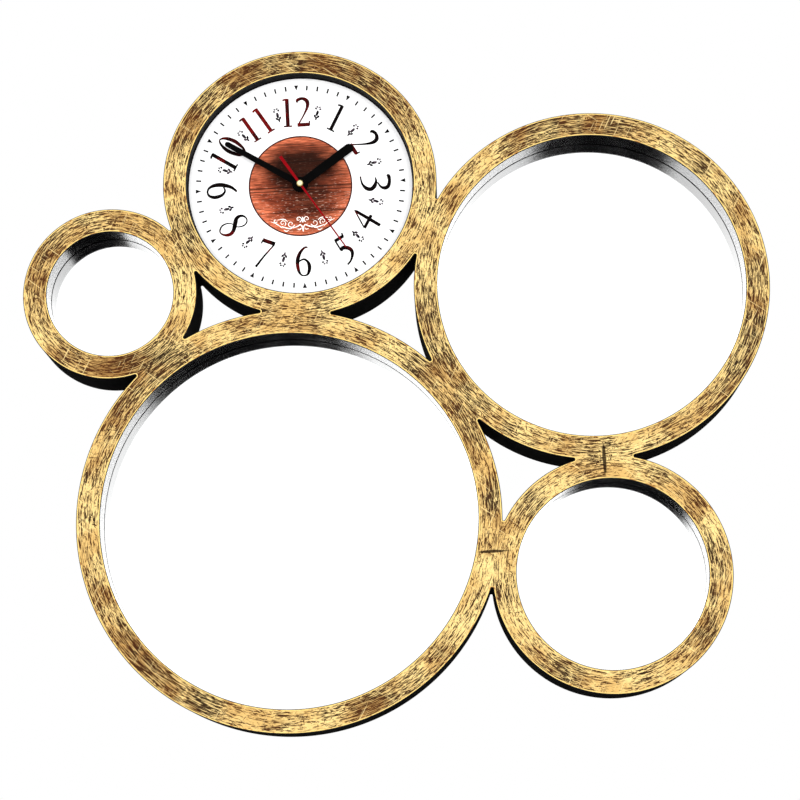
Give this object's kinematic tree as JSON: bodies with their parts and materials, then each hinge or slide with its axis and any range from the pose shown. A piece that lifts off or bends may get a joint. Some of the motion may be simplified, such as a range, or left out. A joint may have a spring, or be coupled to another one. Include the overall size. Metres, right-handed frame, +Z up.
{
  "type": "mirror wall clock",
  "caption": "Wall clock with a round dial and round mirrors set in one deep frame of merged rings, hung on two keyhole plates.",
  "frame": {"origin": "on the wall plane, midway between the shanks of the two wall hooks that hold the clock up", "axes": "+X to the right seen from the front, +Y out of the back into the wall, +Z up through the dial's 12"},
  "size_m": [0.6004, 0.05, 0.5543],
  "materials": {
    "frame": "brushed antique gold paint on the front, gloss black on the walls",
    "mirror": "silvered glass",
    "backing_board": "brown hardboard",
    "dial_print": "satin printed film",
    "black_hands": "satin black",
    "red_hand": "satin red",
    "brass": "polished",
    "steel": "zinc plated",
    "rubber": "matte",
    "case_plastic": "fine grained black",
    "wheel_plastic": "natural acetal",
    "magnet": "bonded magnet",
    "copper": "enamelled copper wire",
    "circuit": "green solder mask",
    "battery_jacket": "printed jacket"
  },
  "bodies": {
    "root": {"battery": "battery_jacket", "board_big": "backing_board", "board_lower": "backing_board", "board_right": "backing_board", "board_small": "backing_board", "circuit_board": "circuit", "coil": "copper", "contact_negative": "steel", "contact_positive": "steel", "dial_board": "backing_board", "dial_print": "dial_print", "frame": "frame", "hanger_left": "steel", "hanger_left_screw_1": "steel", "hanger_left_screw_2": "steel", "hanger_right": "steel", "hanger_right_screw_1": "steel", "hanger_right_screw_2": "steel", "hex_nut": "brass", "mirror_big": "mirror", "mirror_lower": "mirror", "mirror_right": "mirror", "mirror_small": "mirror", "movement_case": "case_plastic", "movement_cover": "case_plastic", "quartz_crystal": "steel", "rubber_washer": "rubber", "screw_big_1": "steel", "screw_big_2": "steel", "screw_big_3": "steel", "screw_big_4": "steel", "screw_clock_1": "steel", "screw_clock_2": "steel", "screw_clock_3": "steel", "screw_lower_1": "steel", "screw_lower_2": "steel", "screw_lower_3": "steel", "screw_right_1": "steel", "screw_right_2": "steel", "screw_right_3": "steel", "screw_right_4": "steel", "screw_small_1": "steel", "screw_small_2": "steel", "screw_small_3": "steel", "stator": "steel", "threaded_bush": "brass"},
    "seconds_arbor": {"seconds_wheel": "wheel_plastic", "second_hand": "red_hand", "second_hand_cap": "brass"},
    "minute_arbor": {"centre_wheel": "wheel_plastic", "minute_hand": "black_hands"},
    "hour_arbor": {"hour_wheel": "wheel_plastic", "hour_hand": "black_hands"},
    "third_arbor": {"third_wheel": "wheel_plastic"},
    "motion_arbor": {"motion_wheel": "wheel_plastic"},
    "intermediate_arbor": {"intermediate_wheel": "wheel_plastic"},
    "rotor_arbor": {"rotor": "magnet"},
    "knob_arbor": {"setting_knob": "wheel_plastic"}
  },
  "joints": [
    {"name": "seconds_turn", "type": "hinge", "parent": "root", "child": "seconds_arbor", "pos_m": [-0.07345, -0.03, 0.07714], "axis": [0, 1, 0], "continuous": true},
    {"name": "minute_turn", "type": "hinge", "parent": "root", "child": "minute_arbor", "pos_m": [-0.07345, -0.03, 0.07714], "axis": [0, 1, 0], "continuous": true},
    {"name": "hour_turn", "type": "hinge", "parent": "root", "child": "hour_arbor", "pos_m": [-0.07345, -0.03, 0.07714], "axis": [0, 1, 0], "continuous": true},
    {"name": "third_turn", "type": "hinge", "parent": "root", "child": "third_arbor", "pos_m": [-0.06355, -0.03, 0.08075], "axis": [0, 1, 0], "continuous": true},
    {"name": "motion_turn", "type": "hinge", "parent": "root", "child": "motion_arbor", "pos_m": [-0.08245, -0.03, 0.07714], "axis": [0, 1, 0], "continuous": true},
    {"name": "intermediate_turn", "type": "hinge", "parent": "root", "child": "intermediate_arbor", "pos_m": [-0.07863, -0.03, 0.08612], "axis": [0, 1, 0], "continuous": true},
    {"name": "rotor_turn", "type": "hinge", "parent": "root", "child": "rotor_arbor", "pos_m": [-0.07676, -0.03, 0.09307], "axis": [0, 1, 0], "continuous": true},
    {"name": "knob_turn", "type": "hinge", "parent": "root", "child": "knob_arbor", "pos_m": [-0.08913, -0.03, 0.08383], "axis": [0, 1, 0], "continuous": true}
  ],
  "couplings": [
    {"joint": "third_turn", "follows": "seconds_turn", "ratio": -0.13333},
    {"joint": "minute_turn", "follows": "seconds_turn", "ratio": 0.016667},
    {"joint": "motion_turn", "follows": "seconds_turn", "ratio": -0.0055556},
    {"joint": "hour_turn", "follows": "seconds_turn", "ratio": 0.0013889},
    {"joint": "knob_turn", "follows": "seconds_turn", "ratio": 0.013889},
    {"joint": "intermediate_turn", "follows": "seconds_turn", "ratio": -6},
    {"joint": "rotor_turn", "follows": "seconds_turn", "ratio": 30}
  ]
}
